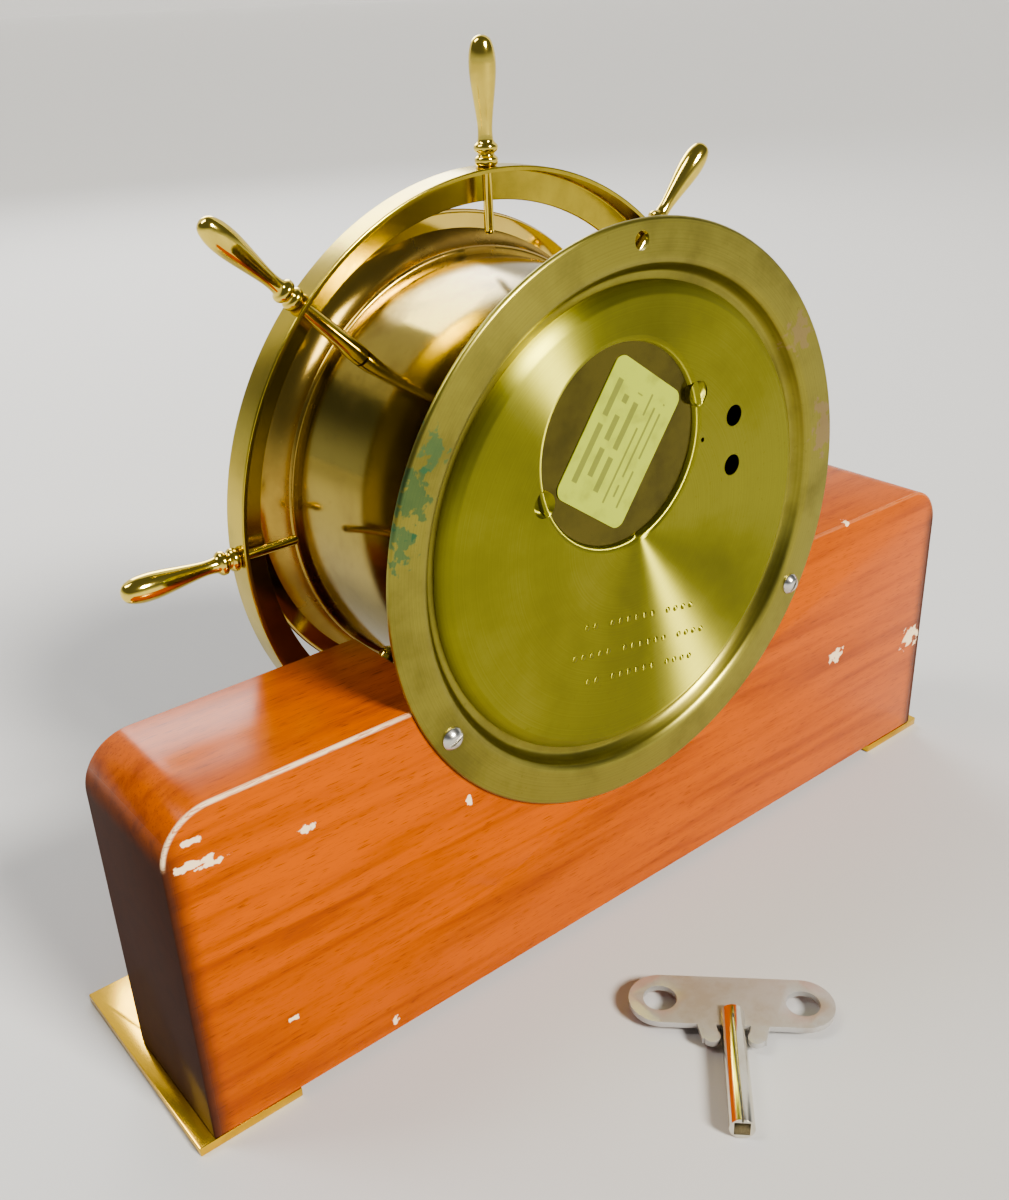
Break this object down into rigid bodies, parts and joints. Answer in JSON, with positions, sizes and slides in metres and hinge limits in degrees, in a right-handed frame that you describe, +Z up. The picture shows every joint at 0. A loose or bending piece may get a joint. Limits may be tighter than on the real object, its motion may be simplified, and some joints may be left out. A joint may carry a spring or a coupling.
{
  "type": "mantel clock",
  "caption": "Brass drum clock with a helm-wheel rim on a rounded wooden base with brass foot plates, hinged glazed door, striking movement and loose winding key.",
  "frame": {"origin": "On the table, half way along the base, in the plane of the base's back face, which is also the middle of the whole set front to back with its key.", "axes": "+X to the right as seen from the dial, -Y out of the dial, +Z up"},
  "size_m": [0.275, 0.1582, 0.2275],
  "materials": {
    "mahogany": "glossy varnish",
    "plate_brass": "polished",
    "drum_brass": "polished, lightly tarnished",
    "cover_brass": "circular brushed, tarnished",
    "disc_brass": "brushed, tarnished",
    "screw_nickel": "nickel plated",
    "label_vinyl": "matte",
    "wheel_brass": "polished",
    "door_brass": "polished",
    "window_glass": "clear",
    "dial_enamel": "satin",
    "hand_black": "satin",
    "movement_brass": "satin",
    "movement_steel": "satin",
    "spring_steel": "blued",
    "bell_metal": "nickel plated",
    "key_nickel": "nickel plated, worn"
  },
  "bodies": {
    "case": {"wood_base": "mahogany", "foot_plate_left": "plate_brass", "foot_plate_right": "plate_brass", "foot_screws": "plate_brass", "case_drum": "drum_brass", "flange_screws": "screw_nickel", "back_cover": "cover_brass", "cover_disc": "disc_brass", "rear_label": "label_vinyl", "front_skirt": "drum_brass", "wheel_rim": "wheel_brass", "spoke_right": "wheel_brass", "post_upper_right": "wheel_brass", "spoke_top": "wheel_brass", "post_upper_left": "wheel_brass", "spoke_left": "wheel_brass", "post_lower_left": "wheel_brass", "spoke_bottom": "wheel_brass", "post_lower_right": "wheel_brass", "hinge_pin": "door_brass", "dial": "dial_enamel", "front_plate": "movement_brass", "back_plate": "movement_brass", "plate_pillars": "movement_brass", "movement_ring": "movement_brass", "movement_screws": "screw_nickel", "balance_cock": "movement_steel", "bell": "bell_metal", "bell_stud": "movement_brass"},
    "door": {"door_ring": "door_brass", "door_glass": "window_glass", "door_knob": "door_brass"},
    "minute_hand": {"minute_hand": "hand_black", "hand_nut": "movement_brass", "cannon_pinion": "movement_brass"},
    "minute_wheel": {"minute_wheel": "movement_brass"},
    "hour_hand": {"hour_hand": "hand_black", "hour_wheel": "movement_brass"},
    "time_barrel": {"time_barrel": "movement_brass", "time_mainspring": "spring_steel"},
    "time_arbor": {"time_arbor": "movement_steel"},
    "time_click": {"time_click": "movement_steel"},
    "center_wheel": {"center_wheel": "movement_brass"},
    "third_wheel": {"third_wheel": "movement_brass"},
    "fourth_wheel": {"fourth_wheel": "movement_brass"},
    "escape_wheel": {"escape_wheel": "movement_brass"},
    "pallet_lever": {"pallet_lever": "movement_steel"},
    "balance": {"balance_wheel": "movement_brass", "hairspring": "spring_steel"},
    "regulator_index": {"regulator_index": "movement_steel"},
    "strike_barrel": {"strike_barrel": "movement_brass", "strike_mainspring": "spring_steel"},
    "strike_arbor": {"strike_arbor": "movement_steel"},
    "strike_click": {"strike_click": "movement_steel"},
    "strike_second_wheel": {"strike_second_wheel": "movement_brass"},
    "strike_third_wheel": {"strike_third_wheel": "movement_brass"},
    "fly": {"fly": "movement_steel"},
    "hammer": {"hammer": "movement_steel"},
    "key": {"key_wing": "key_nickel", "key_shaft": "key_nickel"}
  },
  "joints": [
    {"name": "door_hinge", "type": "hinge", "parent": "case", "child": "door", "pos_m": [-0.0712, -0.0759, 0.1155], "axis": [0, 0, -1], "range_deg": [0, 110]},
    {"name": "minute_hand_turn", "type": "hinge", "parent": "case", "child": "minute_hand", "pos_m": [0, -0.05, 0.1155], "axis": [0, -1, 0], "continuous": true},
    {"name": "minute_wheel_turn", "type": "hinge", "parent": "case", "child": "minute_wheel", "pos_m": [0, -0.05, 0.12558], "axis": [0, -1, 0], "continuous": true},
    {"name": "hour_hand_turn", "type": "hinge", "parent": "case", "child": "hour_hand", "pos_m": [0, -0.05, 0.1155], "axis": [0, -1, 0], "continuous": true},
    {"name": "time_barrel_turn", "type": "hinge", "parent": "case", "child": "time_barrel", "pos_m": [0.02122, -0.05, 0.10325], "axis": [0, -1, 0], "continuous": true},
    {"name": "center_wheel_turn", "type": "hinge", "parent": "case", "child": "center_wheel", "pos_m": [0, -0.05, 0.1155], "axis": [0, -1, 0], "continuous": true},
    {"name": "third_wheel_turn", "type": "hinge", "parent": "case", "child": "third_wheel", "pos_m": [0.0036, -0.05, 0.13589], "axis": [0, -1, 0], "continuous": true},
    {"name": "fourth_wheel_turn", "type": "hinge", "parent": "case", "child": "fourth_wheel", "pos_m": [-0.01219, -0.05, 0.14163], "axis": [0, -1, 0], "continuous": true},
    {"name": "escape_wheel_turn", "type": "hinge", "parent": "case", "child": "escape_wheel", "pos_m": [-0.02572, -0.05, 0.13671], "axis": [0, -1, 0], "continuous": true},
    {"name": "pallet_lever_rock", "type": "hinge", "parent": "case", "child": "pallet_lever", "pos_m": [-0.03279, -0.05, 0.12828], "axis": [0, -1, 0], "range_deg": [-5, 5]},
    {"name": "balance_swing", "type": "hinge", "parent": "case", "child": "balance", "pos_m": [-0.0414, -0.05, 0.12226], "axis": [0, -1, 0], "range_deg": [-220, 220], "stiffness_Nm_per_rad": 0.00003},
    {"name": "regulator_turn", "type": "hinge", "parent": "case", "child": "regulator_index", "pos_m": [-0.0414, -0.05, 0.12226], "axis": [0, -1, 0], "range_deg": [-20, 20]},
    {"name": "time_winding", "type": "hinge", "parent": "case", "child": "time_arbor", "pos_m": [0.02122, -0.05, 0.10325], "axis": [0, -1, 0], "continuous": true},
    {"name": "time_click_lift", "type": "hinge", "parent": "case", "child": "time_click", "pos_m": [0.02337, -0.05, 0.11546], "axis": [0, 1, 0], "range_deg": [0, 12], "stiffness_Nm_per_rad": 0.0005, "springref_deg": -5.73},
    {"name": "strike_barrel_turn", "type": "hinge", "parent": "case", "child": "strike_barrel", "pos_m": [-0.024, -0.05, 0.10325], "axis": [0, -1, 0], "continuous": true},
    {"name": "strike_second_turn", "type": "hinge", "parent": "case", "child": "strike_second_wheel", "pos_m": [-0.01562, -0.05, 0.08023], "axis": [0, -1, 0], "continuous": true},
    {"name": "strike_third_turn", "type": "hinge", "parent": "case", "child": "strike_third_wheel", "pos_m": [-0.00136, -0.05, 0.07822], "axis": [0, -1, 0], "continuous": true},
    {"name": "fly_turn", "type": "hinge", "parent": "case", "child": "fly", "pos_m": [0.01199, -0.05, 0.07283], "axis": [0, -1, 0], "continuous": true},
    {"name": "strike_winding", "type": "hinge", "parent": "case", "child": "strike_arbor", "pos_m": [-0.024, -0.05, 0.10325], "axis": [0, -1, 0], "continuous": true},
    {"name": "strike_click_lift", "type": "hinge", "parent": "case", "child": "strike_click", "pos_m": [-0.02185, -0.05, 0.11546], "axis": [0, 1, 0], "range_deg": [0, 12], "stiffness_Nm_per_rad": 0.0005, "springref_deg": -5.73},
    {"name": "hammer_swing", "type": "hinge", "parent": "case", "child": "hammer", "pos_m": [0.0398, -0.05, 0.1385], "axis": [0, 1, 0], "range_deg": [0, 20], "stiffness_Nm_per_rad": 0.004, "springref_deg": -17.19},
    {"name": "key_lift", "type": "slide", "parent": "case", "child": "key", "axis": [0, 0, 1], "range_m": [0, 0.06]}
  ],
  "couplings": [
    {"joint": "minute_wheel_turn", "follows": "minute_hand_turn", "ratio": -0.33333},
    {"joint": "hour_hand_turn", "follows": "minute_hand_turn", "ratio": 0.083333},
    {"joint": "center_wheel_turn", "follows": "time_barrel_turn", "ratio": -6},
    {"joint": "third_wheel_turn", "follows": "time_barrel_turn", "ratio": 40},
    {"joint": "fourth_wheel_turn", "follows": "time_barrel_turn", "ratio": -240},
    {"joint": "escape_wheel_turn", "follows": "time_barrel_turn", "ratio": 1200},
    {"joint": "strike_second_turn", "follows": "strike_barrel_turn", "ratio": -6},
    {"joint": "strike_third_turn", "follows": "strike_barrel_turn", "ratio": 30},
    {"joint": "fly_turn", "follows": "strike_barrel_turn", "ratio": -150}
  ]
}
